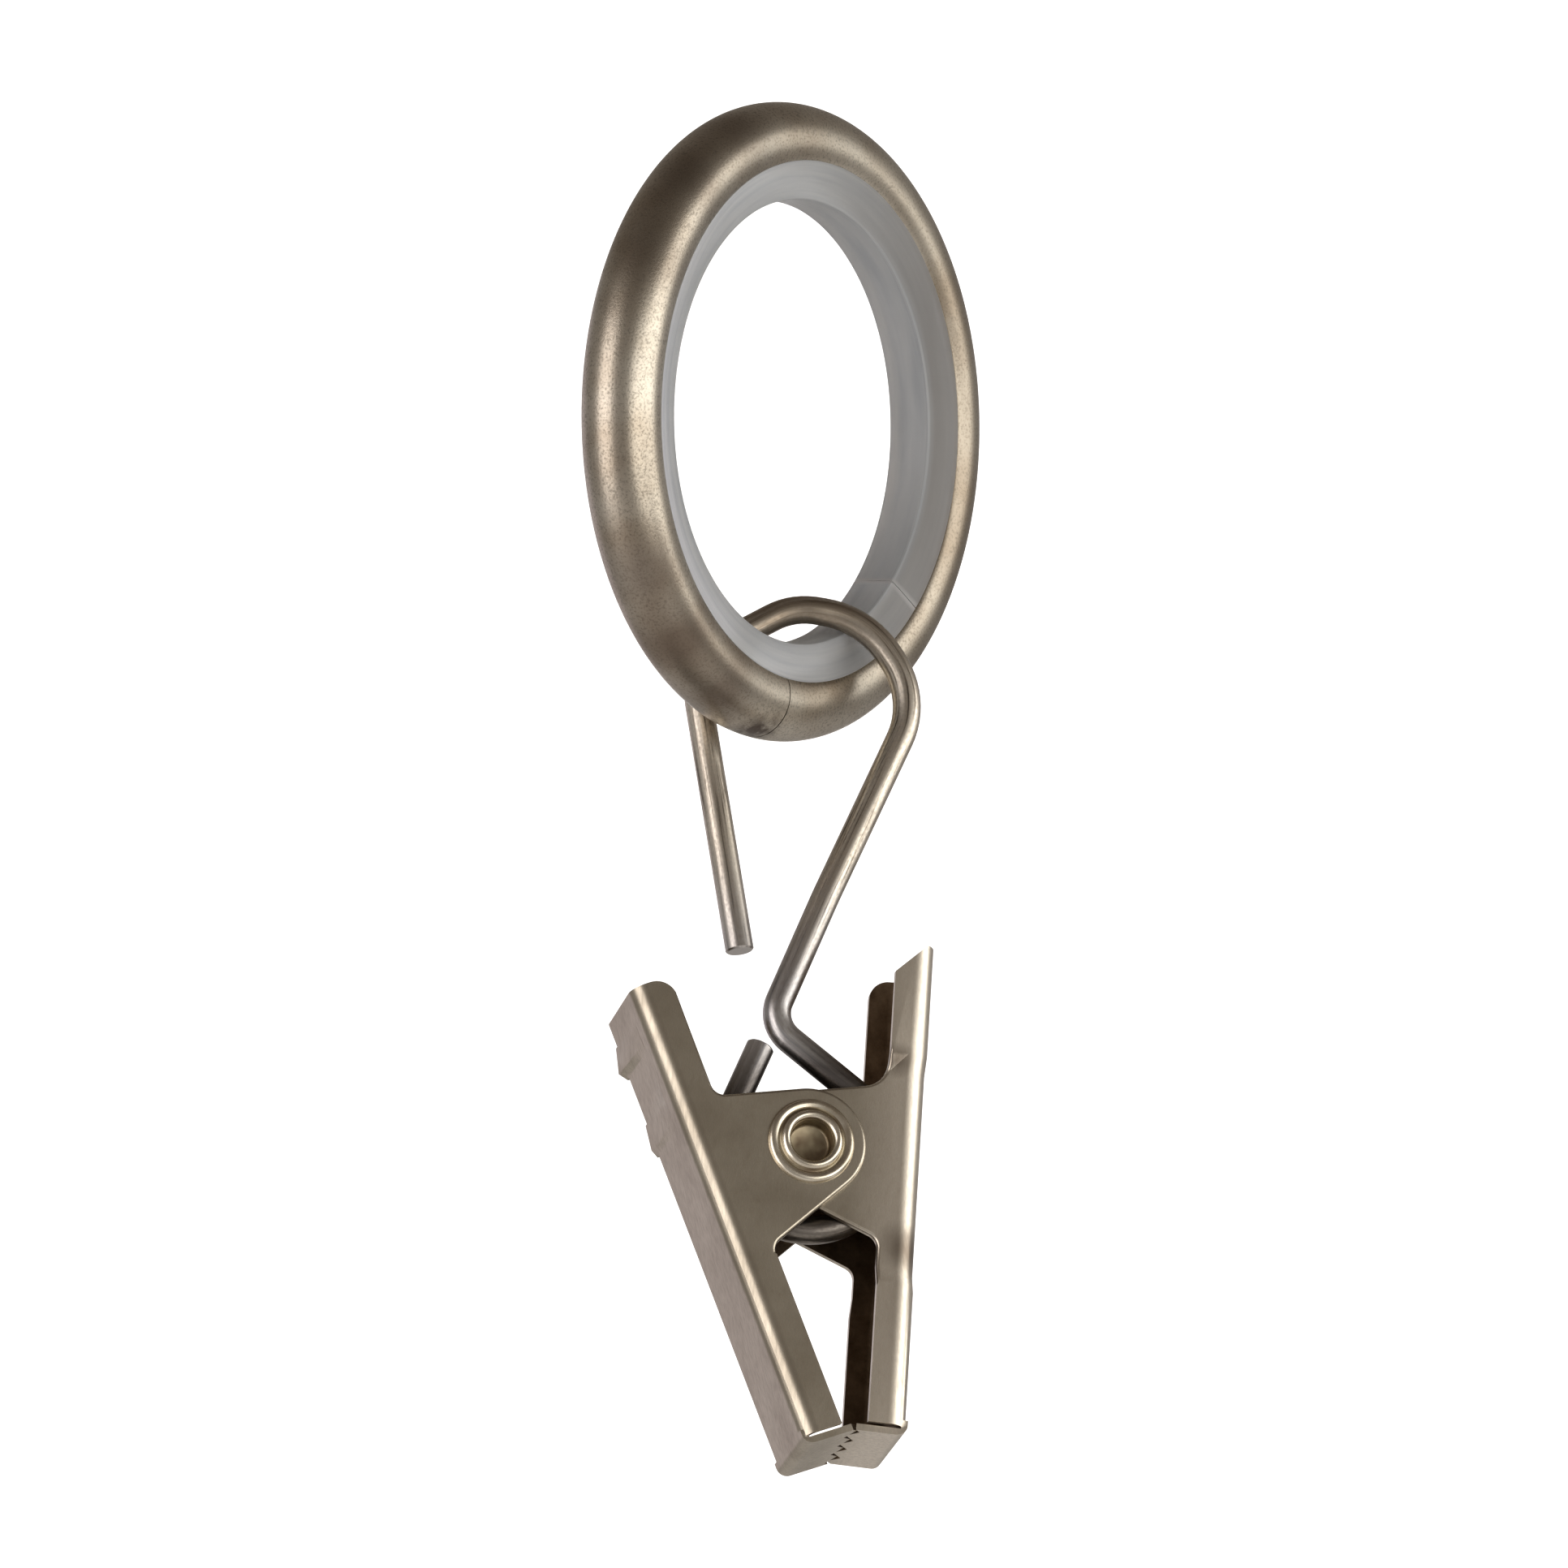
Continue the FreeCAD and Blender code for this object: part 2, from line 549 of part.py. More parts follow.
def rib_loft(body, rib, kind, face, base, ends):
    """A saw-tooth ridge on a face of the web, or its hollow, between a high and a low section."""
    sketches = []
    for depth, height in zip(ends, (f"{rib}_height", f"{rib}_height / {RIB_FADE}")):
        sketch = new_sketch(body, f"{rib}_{kind.lower()}_{len(sketches) + 1}", "XZ_Plane", f"-{depth}")
        polygon(sketch, [
            (f"{face} + {base}", f"{rib} + rib_rise"),
            (face, f"{rib} + rib_rise"),
            (f"{face} - {height}", rib),
            (face, f"{rib} - rib_drop"),
            (f"{face} + {base}", f"{rib} - rib_drop"),
        ])
        sketches.append(sketch)
    ridge = body.newObject(f"PartDesign::{kind}Loft", f"{rib}_{kind.lower()}_loft")
    ridge.Profile = sketches[0]
    ridge.Sections = [sketches[1]]
    ridge.Ruled = True


def outer_jaw():
    """Left jaw, whose ears lie outside, with ribs for the thumb."""
    body = jaw("outer_jaw", "outer_handle", "outer_fold", "ear_fillet", "rivet_fit")
    thumb_ribs(body)
    body.Placement = clip_frame * FreeCAD.Placement(FreeCAD.Vector(), turn(Y_AXIS, -size("jaw_angle")))
    return body


def inner_jaw():
    """Right jaw, pinched so that its ears lie inside those of the outer jaw."""
    body = jaw("inner_jaw", "inner_handle", "inner_fold", "inner_ear_fillet", "rivet_run", WAIST)
    facing = turn(Z_AXIS, 180) * turn(Y_AXIS, -size("jaw_angle"))
    body.Placement = clip_frame * FreeCAD.Placement(FreeCAD.Vector(), facing)
    return body


def pivot_rivet():
    """Semi-tubular rivet: blind hole, rolled collar and flange at the front, plain head at the back."""
    body = new_body("pivot_rivet")
    sketch = new_sketch(body, "rivet_profile", "XY_Plane")
    crest = "(-clip_depth / 2 - rivet_roll)"
    flange = "(-clip_depth / 2 - rivet_flange)"
    floor = f"({crest} + rivet_hole_depth)"
    back = "(clip_depth / 2 + rivet_head)"
    polygon(sketch, [
        ("0", floor),
        ("rivet_hole / 2", floor),
        ("rivet_hole / 2", crest),
        ("rivet_collar / 2", crest),
        ("rivet_collar / 2", flange),
        ("rivet_rim / 2", flange),
        ("rivet_rim / 2", "-clip_depth / 2"),
        ("rivet_dia / 2", "-clip_depth / 2"),
        ("rivet_dia / 2", "clip_depth / 2"),
        ("rivet_rim / 2", "clip_depth / 2"),
        ("rivet_rim / 2", back),
        ("0", back),
    ])
    revolve(body, sketch, "360")
    for rim, height in (("rivet_rim", flange), ("rivet_collar", crest), ("rivet_hole", crest)):
        soften(body, "Fillet", [(size(f"{rim} / 2"), size(height), 0)], "rivet_round")
    soften(body, "Fillet", [(size("rivet_rim / 2"), size(back), 0)], "rivet_head / 2")
    body.Placement = clip_frame
    return body


def jaw_spring():
    """Torsion spring round the rivet: its legs leave the coil at the top and press the two webs apart."""
    wire = size("spring_wire")
    radius = size("rivet_dia / 2 + spring_fit + spring_wire / 2")
    lean_angle = math.radians(size("jaw_angle"))
    web = (size("web_offset - jaw_sheet") + math.sin(lean_angle) * (radius - wire / 2)) / math.cos(lean_angle)
    leg_reach = web - size("spring_seat")
    leg_turns = leg_reach / (2 * math.pi * radius)
    room = size(f"2 * {INNER_FACE} - eye_clear - wire_dia - spring_clear - spring_back - spring_wire")
    pitch = room / (size("spring_turns") + 2 * leg_turns)
    front = size(f"wire_dia / 2 + spring_clear + spring_wire / 2 - {EYE_Y}") + leg_turns * pitch
    coil = Part.makeHelix(pitch, pitch * size("spring_turns"), radius)
    upright = FreeCAD.Rotation(Z_AXIS, X_AXIS, Y_AXIS, "ZXY")
    coil.Placement = FreeCAD.Placement(FreeCAD.Vector(0, front, 0), upright)
    along = FreeCAD.Vector(radius, pitch / (2 * math.pi), 0).normalize()
    leg = along * (leg_reach / along.x)
    coil_start = FreeCAD.Vector(0, front, radius)
    coil_end = FreeCAD.Vector(0, front + pitch * size("spring_turns"), radius)
    first_leg = Part.makeLine(coil_start - leg, coil_start)
    last_leg = Part.makeLine(coil_end, coil_end + leg)
    path = Part.Wire([first_leg] + coil.Edges + [last_leg])
    section = Part.Wire([Part.makeCircle(wire / 2, coil_start - leg, along)])
    spring = doc.addObject("Part::Feature", "jaw_spring")
    spring.Label = "jaw_spring"
    spring.Shape = path.makePipeShell([section], True, True)
    spring.Placement = clip_frame
    return spring


makers = (ring_shell, ring_liner, hook_wire, outer_jaw, inner_jaw, pivot_rivet, jaw_spring)
sub_parts = [maker() for maker in makers]
doc.recompute()
for item in doc.Objects:
    if {"Invalid", "Error"} & set(item.State):
        raise RuntimeError(f"{item.Label} failed: {item.State}")
for sub_part in sub_parts:
    if sub_part.Shape.isNull() or not sub_part.Shape.isValid():
        raise RuntimeError(f"{sub_part.Label} has no valid shape")
os.makedirs("parts", exist_ok=True)
for sub_part in sub_parts:
    sub_part.Shape.exportStep(f"parts/{sub_part.Label}.step")
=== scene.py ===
import math

import bmesh
import bpy
from mathutils import Matrix, Vector


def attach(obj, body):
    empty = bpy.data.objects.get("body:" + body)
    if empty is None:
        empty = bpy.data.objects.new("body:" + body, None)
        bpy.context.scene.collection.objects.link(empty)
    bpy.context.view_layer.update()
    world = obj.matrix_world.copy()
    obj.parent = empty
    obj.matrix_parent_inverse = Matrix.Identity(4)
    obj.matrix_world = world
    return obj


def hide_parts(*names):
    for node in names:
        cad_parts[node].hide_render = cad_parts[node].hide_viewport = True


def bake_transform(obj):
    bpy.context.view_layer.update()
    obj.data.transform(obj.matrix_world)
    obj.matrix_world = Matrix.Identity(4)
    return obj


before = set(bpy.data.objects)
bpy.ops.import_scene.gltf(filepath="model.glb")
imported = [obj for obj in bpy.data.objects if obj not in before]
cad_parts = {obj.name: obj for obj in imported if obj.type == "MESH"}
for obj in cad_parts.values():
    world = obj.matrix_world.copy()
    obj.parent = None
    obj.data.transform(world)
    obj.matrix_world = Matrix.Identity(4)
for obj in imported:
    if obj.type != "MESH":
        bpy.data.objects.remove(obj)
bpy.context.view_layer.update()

# Sizes of the solids, in millimetres and radians
MM = 0.001
RING_R, TUBE_R, SHEET, LIP = 20.6, 2.9, 0.7, math.radians(62)
SEAM_TURN, SEAM_GAP = math.radians(-9.5), 0.05
SPLIT_TURN, SPLIT_GAP, LINER_BORE = math.radians(45), 0.04, 16.3
HALF_DEPTH, INNER_FACE, WEB_FACE = 4.8, 3.7, 8.0
JAW_LEAN = math.radians(12.3)
EYE_Y, EYE_CLEAR, WIRE_DIA = 2.5, 0.2, 2.0
SPRING_WIRE, SPRING_R, SPRING_TURNS = 0.5, 2.85, 3
SPRING_CLEAR, SPRING_BACK, SPRING_SEAT, BLEND_INSET = 0.3, 1.4, 0.1, 0.2

# Frames of the ring, the hook and the clip, as in the solids
YAW, TILT, HOOK_ROLL, CLIP_ROLL = (math.radians(a) for a in (-42.2, -19.45, 4.25, -4.35))
TUBE_IN_HOOK = Vector((-1.29, 0.48, 34.77))
LEAN = Matrix.Rotation(YAW, 4, "Z") @ Matrix.Rotation(TILT, 4, "X")
HOOK_TURN = LEAN @ Matrix.Rotation(HOOK_ROLL, 4, "Y")
PIVOT = Vector((0, 0, -RING_R)) - HOOK_TURN @ TUBE_IN_HOOK
CLIP_CENTRE = PIVOT + LEAN @ Vector((0, EYE_Y, 0))
CLIP_TURN = LEAN @ Matrix.Rotation(CLIP_ROLL, 4, "Y")
RING = Matrix.Scale(MM, 4)
HOOK = RING @ Matrix.Translation(PIVOT) @ HOOK_TURN
CLIP = RING @ Matrix.Translation(CLIP_CENTRE) @ CLIP_TURN
LEFT_JAW = CLIP @ Matrix.Rotation(-JAW_LEAN, 4, "Y")
RIGHT_JAW = CLIP @ Matrix.Rotation(math.pi, 4, "Z") @ Matrix.Rotation(-JAW_LEAN, 4, "Y")

# Hook, fitted to the photograph in its own plane: x, z and bend radius of each corner
HOOK_R, EYE_R, KINK, STUB = 1.04, 6.05, (-2.55, 9.6), (-3.2, 7.85)
HOOK_CORNERS = ((-4.75, 15.0, 0), (-8.2, 37.6, 5.2), (-0.8, 42.15, 5.0), (4.75, 41.6, 6.5),
                (8.75, 35.6, 6.5), (1.68, 19.7, 40), (*KINK, 2.5))
# Left of BOW_SIDE and above BOW_LOW the hook leans back, so that it clears the ring
BOW, BOW_SIDE, BOW_SIDE_FADE, BOW_LOW, BOW_LOW_FADE = 0.45, 1.0, 4.0, 22.0, 8.0

# Half of the liner's section: distance from the axis, depth
LINER_HALF = ((LINER_BORE, 1.5), (16.38, 1.68), (16.55, 1.80), (17.9, 2.20), (18.95, 2.46),
              (19.15, 2.50), (19.18, 2.40), (19.52, 1.89), (19.62, 1.89), (19.78, 2.01),
              (21.3, 1.1))

# Rivet: radius, depth from the floor of its hollow, from the front face or from the back face
COLLAR_HEIGHT, HOLLOW_DEPTH = 0.75, 1.7
RIVET_HOLLOW = ((0.0, 0.0), (1.35, 0.0), (1.5, -0.08), (1.56, -0.25))
RIVET_FRONT = ((1.58, -0.25), (1.63, -0.55), (1.78, -0.70), (1.95, -0.75), (2.12, -0.68),
               (2.24, -0.52), (2.32, -0.36), (2.42, -0.30), (2.54, -0.33), (2.70, -0.41),
               (2.90, -0.42), (3.06, -0.34), (3.16, -0.20), (3.2, -0.02), (3.1, 0.0), (2.2, 0.01))
RIVET_BACK = ((2.2, -0.01), (3.1, 0.0), (3.2, 0.06), (3.2, 0.36), (3.1, 0.58), (2.85, 0.74),
              (2.4, 0.8), (0.0, 0.8))
# Rows of the rivet in the darker brown: the hollow, darkened as painted shade, and the groove.
BROWN_ROWS = (0, 1, 2, 3, 9, 10, 11)

# Edges of the jaws
FRONT_ROUND, EDGE_ROUND, ROUND_STEPS = 0.25 * MM, 0.1 * MM, 4
SHARP_ANGLE, FLAT_ANGLE, JOIN = math.radians(50), math.radians(0.8), 2e-6
RIM_DEPTH, RIM_LOW, RIM_HIGH, TAB_TOP = 1.5, -18.5, 12.0, -20.0

# Marks in the materials. On the ring, spots of painted shade: degrees from the bottom, distance
# from the middle of the tube, depth and strength. On the jaw, spots of painted shade: point, inner
# and outer reach and strength.
RING_SHADE_SPOTS = ((-28, 2.2, -1.9, 0.8), (-44, 2.2, -1.9, 0.85), (-60, 2.2, -1.9, 0.7),
              (-122, 1.5, -2.5, 0.45), (-140, 1.5, -2.5, 0.6), (-158, 1.5, -2.5, 0.5))
STAIN_TURN, STAIN_OUT, STAIN_DEPTH = SEAM_TURN - math.radians(3), 2.75, -0.9
FOLD_SHADE_SPOTS = (((-9.0, 4.2, -7.2), 0.5, 2.6, 1.0), ((-7.2, 4.8, -6.9), 0.3, 2.2, 0.7),
              ((-6.1, 4.9, 7.1), 0.3, 1.5, 0.8))
# On the wire: point, inner and outer reach, strength and colour of the arch, the kink and the eye;
# the eye's dark colour is painted shade
WIRE_SPOTS = (((0.5, 0, 42.5), 3.0, 8.5, 0.7, (0.30, 0.24, 0.18)),
              ((-2.5, 0, 9.8), 3.0, 14.0, 0.65, (0.48, 0.485, 0.52)),
              ((0, 0, 0), 6.4, 8.7, 0.87, (0.07, 0.06, 0.056)))

# Camera, stage and light, in metres
AZIMUTH = math.radians(-55.3)
VIEW = Vector((math.sin(AZIMUTH), -math.cos(AZIMUTH), 0))
RIGHT = Vector((math.cos(AZIMUTH), math.sin(AZIMUTH), 0))
MIDDLE = Vector((0, 0, -0.0266))
CAMERA_AWAY, CAMERA_LENS, CAMERA_NEAR = 0.96, 300, 0.01
FLOOR, FLOOR_HALF, FLOOR_GLOW = -0.62, 12, 0.14
WALL_BACK, WALL_HALF = 1.25, 0.24
SQUARE = ((-1, -1), (1, -1), (1, 1), (-1, 1))
# Each lamp: degrees to the right of the camera, degrees up, width, height, glow and tint
LAMP_AWAY = 1.1
LAMPS = (("right", 44, 2, 0.70, 0.66, 2.3, (1.0, 0.97, 0.91)),
         ("far_right", 84, 10, 0.90, 0.64, 2.2, (1.0, 0.97, 0.91)),
         ("left", -50, 5, 0.76, 1.10, 2.2, (1.0, 0.94, 0.91)),
         ("back_left", -146, -6, 0.80, 0.70, 0.30, (1.0, 0.86, 0.97)))
# The world from straight down (0) to straight up (1)
WORLD_LEVELS = ((0.0, (0.26, 0.24, 0.22)), (0.5, (0.36, 0.35, 0.34)),
                (0.72, (0.22, 0.195, 0.17)), (1.0, (0.09, 0.07, 0.055)))


# Mesh helpers
def piece(name, bm, materials, body, node, smooth=40):
    """A finished mesh piece that rides a body, if one is named, and stands for a CAD node."""
    bmesh.ops.recalc_face_normals(bm, faces=bm.faces)
    mesh = bpy.data.meshes.new(name)
    bm.to_mesh(mesh)
    bm.free()
    obj = bpy.data.objects.new(name, mesh)
    bpy.context.scene.collection.objects.link(obj)
    for material in materials:
        mesh.materials.append(material)
    mesh.shade_smooth()
    mesh.set_sharp_from_angle(angle=math.radians(smooth))
    if body:
        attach(obj, body)
    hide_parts(node)
    return obj


def loft(rows, uvs):
    """A surface through closed rows of points, with caps at its two ends."""
    bm = bmesh.new()
    layer = bm.loops.layers.uv.new("UVMap")
    grid = [[bm.verts.new(p) for p in row] for row in rows]
    count = len(rows[0])
    for i in range(len(rows) - 1):
        for j in range(count):
            k = (j + 1) % count
            face = bm.faces.new((grid[i][j], grid[i][k], grid[i + 1][k], grid[i + 1][j]))
            marks = ((i, j), (i, j + 1), (i + 1, j + 1), (i + 1, j))
            for loop, (row, col) in zip(face.loops, marks):
                loop[layer].uv = (uvs[row], col / count)
    bm.faces.new(grid[0])
    bm.faces.new(grid[-1])
    return bm


def ring_point(turn, radius, depth):
    """A point at an angle from the bottom of the ring, a distance from its axis and a depth."""
    return Vector((radius * math.sin(turn), depth, -radius * math.cos(turn)))


def lathe_part(section, start, stop, steps):
    """A closed section of (radius, depth), turned about the ring's axis between two angles."""
    rows, uvs = [], []
    for i in range(steps + 1):
        turn = start + (stop - start) * i / steps
        rows.append([RING @ ring_point(turn, radius, depth) for radius, depth in section])
        uvs.append(i / steps)
    return loft(rows, uvs)


def arc(cx, cy, radius, a0, a1, steps):
    """Points on an arc in a plane."""
    return [(cx + radius * math.cos(a0 + (a1 - a0) * i / steps),
             cy + radius * math.sin(a0 + (a1 - a0) * i / steps)) for i in range(steps + 1)]


def bent_line(corners, step=math.radians(5)):
    """Straight runs with tangent bends at the corners: (x, z, bend radius)."""
    line = [Vector(corners[0][:2])]
    for (x0, z0, _), (x1, z1, radius), (x2, z2, _) in zip(corners, corners[1:], corners[2:]):
        corner = Vector((x1, z1))
        back = (Vector((x0, z0)) - corner).normalized()
        ahead = (Vector((x2, z2)) - corner).normalized()
        half = back.angle(ahead) / 2
        first = corner + back * (radius / math.tan(half))
        last = corner + ahead * (radius / math.tan(half))
        centre = corner + (back + ahead).normalized() * (radius / math.sin(half))
        sweep = (first - centre).angle_signed(last - centre)
        count = max(2, round(abs(sweep) / step))
        for i in range(count + 1):
            line.append(centre + Matrix.Rotation(-sweep * i / count, 2) @ (first - centre))
    line.append(Vector(corners[-1][:2]))
    return line


def tube(path, radius, sides, place, end_round, side=None):
    """A round wire along a path in millimetres, with broken ends. One side may be held still."""
    held = side is not None
    rows, uvs = [], []
    length = 0.0
    last = len(path) - 1
    for i, p in enumerate(path):
        length += (p - path[max(i - 1, 0)]).length
        ahead = (path[min(i + 1, last)] - path[max(i - 1, 0)]).normalized()
        if not held:
            if side is None:
                side = ahead.orthogonal().normalized()
            side = (side - ahead * side.dot(ahead)).normalized()
        other = ahead.cross(side)
        rings = [(0.0, radius)]
        if i == 0:
            rings = [(0.0, radius - end_round), (end_round, radius)]
        if i == last:
            rings = [(-end_round, radius), (0.0, radius - end_round)]
        for along, r in rings:
            row = []
            for j in range(sides):
                a = 2 * math.pi * j / sides
                row.append(place @ (p + ahead * along + side * (r * math.cos(a))
                                    + other * (r * math.sin(a))))
            rows.append(row)
            uvs.append((length + along) / 10)
    return loft(rows, uvs)


# Material helpers
class Shade:
    """A principled material whose nodes are added by name."""

    def __init__(self, name, **values):
        self.material = bpy.data.materials.new(name)
        self.material.use_nodes = True
        self.tree = self.material.node_tree
        self.shader = self.tree.nodes["Principled BSDF"]
        for key, value in values.items():
            socket = key.replace("_", " ").title().replace("Ior", "IOR")
            self.shader.inputs[socket].default_value = value

    def node(self, kind, **values):
        made = self.tree.nodes.new(f"ShaderNode{kind}")
        for key, value in values.items():
            setattr(made, key, value)
        return made

    def link(self, source, target):
        self.tree.links.new(source, target)

    def put(self, socket, value):
        """Links an output to a socket, or sets the socket's value."""
        if hasattr(value, "is_output"):
            self.link(value, socket)
        else:
            socket.default_value = value

    def place(self, kind="Object", scale=(1 / MM,) * 3):
        """Coordinates in millimetres, or scaled along each way."""
        coord = self.node("TexCoord")
        mapping = self.node("Mapping")
        mapping.inputs["Scale"].default_value = scale
        self.link(coord.outputs[kind], mapping.inputs["Vector"])
        return mapping.outputs["Vector"]

    def noise(self, vector, scale, detail=3.0, rough=0.55):
        made = self.node("TexNoise")
        self.link(vector, made.inputs["Vector"])
        made.inputs["Scale"].default_value = scale
        made.inputs["Detail"].default_value = detail
        made.inputs["Roughness"].default_value = rough
        return made.outputs["Fac"]

    def ramp(self, value, *stops):
        """A value turned into colours or greys: (position, colour or grey)."""
        made = self.node("ValToRGB")
        marks = made.color_ramp.elements
        while len(marks) < len(stops):
            marks.new(0.5)
        for mark, (position, colour) in zip(marks, stops):
            mark.position = position
            mark.color = (*colour, 1) if isinstance(colour, tuple) else (colour, colour, colour, 1)
        self.link(value, made.inputs["Fac"])
        return made.outputs["Color"]

    def mix(self, factor, a, b, kind="MIX"):
        made = self.node("MixRGB", blend_type=kind)
        for socket, value in zip(made.inputs, (factor, a, b)):
            self.put(socket, (*value, 1) if isinstance(value, tuple) else value)
        return made.outputs["Color"]

    def reach(self, value, start, stop, first, last):
        """A value carried from one range to another."""
        made = self.node("MapRange")
        self.link(value, made.inputs["Value"])
        keys = ("From Min", "From Max", "To Min", "To Max")
        for key, number in zip(keys, (start, stop, first, last)):
            made.inputs[key].default_value = number
        return made.outputs["Result"]

    def near(self, vector, point, inner, outer, full=1.0):
        """Full within one distance of a point, fading to nothing at another, in millimetres."""
        made = self.node("VectorMath", operation="DISTANCE")
        self.link(vector, made.inputs[0])
        made.inputs[1].default_value = point
        return self.reach(made.outputs["Value"], inner, outer, full, 0.0)

    def along(self, vector, axis, point, start, stop):
        """0 to 1 between two distances from a point along a direction, in millimetres."""
        made = self.node("VectorMath", operation="DOT_PRODUCT")
        self.link(vector, made.inputs[0])
        made.inputs[1].default_value = axis
        base = Vector(point).dot(axis)
        return self.reach(made.outputs["Value"], base + start, base + stop, 0.0, 1.0)

    def bump(self, height, strength, distance):
        made = self.node("Bump")
        made.inputs["Strength"].default_value = strength
        made.inputs["Distance"].default_value = distance
        self.link(height, made.inputs["Height"])
        self.link(made.outputs["Normal"], self.shader.inputs["Normal"])

    def set(self, socket, value):
        self.link(value, self.shader.inputs[socket])


# Materials
def ring_nickel():
    """Satin nickel, finely blasted, browner in patches, stained beside the seam, with painted shade
    in spots on the left and toward the right rim.
    """
    s = Shade("ring_nickel", metallic=1.0)
    at = s.place()
    speckle = s.noise(at, 5.5, 2.0, 0.6)
    patch = s.noise(at, 0.14, 3.0, 0.5)
    warm = s.ramp(patch, (0.34, (0.39, 0.33, 0.26)), (0.60, (0.57, 0.525, 0.45)))
    grain = s.ramp(speckle, (0.30, 0.60), (0.52, 1.0))
    colour = s.mix(1.0, warm, grain, "MULTIPLY")
    # Dark spots on the left of the tube: painted shade.
    for turn, out, depth, full in RING_SHADE_SPOTS:
        spot = ring_point(math.radians(turn), RING_R + out, depth)
        colour = s.mix(s.near(at, spot, 1.0, 4.6, full), colour, (0.17, 0.13, 0.10))
    # Darker toward the right rim: painted shade.
    far = s.ramp(s.along(at, (1, 0, 0), (0, 0, 0), 6.0, 20.0), (0.0, 0.0), (1.0, 0.6))
    colour = s.mix(far, colour, (0.25, 0.205, 0.155))
    stain = s.near(at, ring_point(STAIN_TURN, RING_R + STAIN_OUT, STAIN_DEPTH), 0.9, 2.4)
    blot = s.ramp(s.noise(at, 0.9, 3.0, 0.6), (0.30, 0.1), (0.52, 1.0))
    spread = s.mix(1.0, stain, blot, "MULTIPLY")
    s.set("Base Color", s.mix(spread, colour, (0.09, 0.066, 0.05)))
    s.set("Roughness", s.ramp(speckle, (0.3, 0.40), (0.7, 0.30)))
    s.bump(speckle, 0.35, 0.03 * MM)
    return s.material


def liner_plastic():
    """Frosted plastic, finely drawn round the ring, with painted shade on the right flank, pale at
    the split.
    """
    s = Shade("liner_plastic", ior=1.46, transmission_weight=0.65)
    at = s.place()
    lines = s.noise(s.place("UV", (9, 46, 1)), 1.0, 3.0, 0.55)
    fine = s.noise(at, 6.0, 2.0, 0.5)
    colour = s.ramp(lines, (0.32, (0.74, 0.78, 0.83)), (0.62, (0.94, 0.97, 1.0)))
    apart = s.node("SeparateXYZ")
    s.link(s.place("UV", (1, 1, 1)), apart.inputs["Vector"])
    split = s.ramp(apart.outputs["X"], (0.0, 1.0), (0.0016, 0.0), (0.9984, 0.0), (1.0, 1.0))
    # The flank on the right side is darkened: painted shade.
    flank = s.ramp(apart.outputs["Y"], (0.70, 0.0), (0.74, 0.8), (0.85, 0.8), (0.88, 0.0))
    dark = s.mix(1.0, flank, s.along(at, RIGHT, (0, 0, 0), 2.0, 11.0), "MULTIPLY")
    colour = s.mix(dark, colour, (0.40, 0.375, 0.36))
    s.set("Base Color", s.mix(split, colour, (0.97, 0.97, 0.98)))
    s.set("Roughness", s.ramp(fine, (0.3, 0.38), (0.7, 0.55)))
    s.bump(fine, 0.15, 0.02 * MM)
    return s.material


def wire_nickel():
    """Drawn wire: bright with dark die lines along it, brown and bluish in places, and dark at the
    eye as painted shade.
    """
    s = Shade("wire_nickel", metallic=1.0)
    lines = s.noise(s.place("UV", (1.2, 26, 1)), 1.0, 4.0, 0.6)
    grains = s.noise(s.place("UV", (30, 30, 1)), 1.0, 3.0, 0.6)
    streak = s.ramp(lines, (0.35, (0.17, 0.145, 0.12)), (0.45, (0.60, 0.54, 0.46)),
                    (0.60, (0.78, 0.72, 0.63)))
    colour = s.mix(1.0, streak, s.ramp(grains, (0.28, 0.7), (0.6, 1.0)), "MULTIPLY")
    at = s.place()
    # Tinted spots: darker brown at the arch, bluish at the kink, and painted shade over the eye.
    for point, inner, outer, full, spot_tint in WIRE_SPOTS:
        spot = HOOK @ Vector(point) / MM
        colour = s.mix(s.near(at, spot, inner, outer, full), colour, spot_tint)
    s.set("Base Color", colour)
    s.set("Roughness", s.ramp(grains, (0.3, 0.42), (0.7, 0.28)))
    s.bump(lines, 0.15, 0.03 * MM)
    return s.material


def jaw_nickel():
    """Satin plated sheet with a grain along the jaw, lighter toward the right jaw's fold as a
    painted highlight, with spots of painted shade near that fold.
    """
    s = Shade("jaw_nickel", metallic=1.0)
    at = s.place()
    grain = s.noise(s.place("Object", (4200, 4200, 700)), 1.0, 3.0, 0.6)
    patch = s.noise(at, 0.22, 3.0, 0.55)
    warm = s.ramp(patch, (0.35, (0.46, 0.41, 0.33)), (0.65, (0.56, 0.51, 0.42)))
    # Lighter toward the right jaw's fold: a painted highlight.
    outward = (RIGHT_JAW.to_3x3() @ Vector((-1, 0, 0))).normalized()
    side = s.along(at, outward, RIGHT_JAW.translation / MM, 3.0, 9.5)
    fold_highlight = s.ramp(side, (0.0, 0.0), (0.50, 0.85), (0.72, 0.85), (0.92, 0.1))
    warm = s.mix(fold_highlight, warm, (0.84, 0.77, 0.67))
    fine = s.ramp(grain, (0.3, 0.82), (0.6, 1.0))
    colour = s.mix(1.0, warm, fine, "MULTIPLY")
    # Dark spots near the right jaw's front fold: painted shade.
    for point, inner, outer, full in FOLD_SHADE_SPOTS:
        fold_shade = s.near(at, RIGHT_JAW @ Vector(point) / MM, inner, outer, full)
        colour = s.mix(fold_shade, colour, (0.15, 0.11, 0.08))
    s.set("Base Color", colour)
    s.set("Roughness", s.ramp(grain, (0.3, 0.36), (0.7, 0.28)))
    s.bump(grain, 0.18, 0.02 * MM)
    return s.material


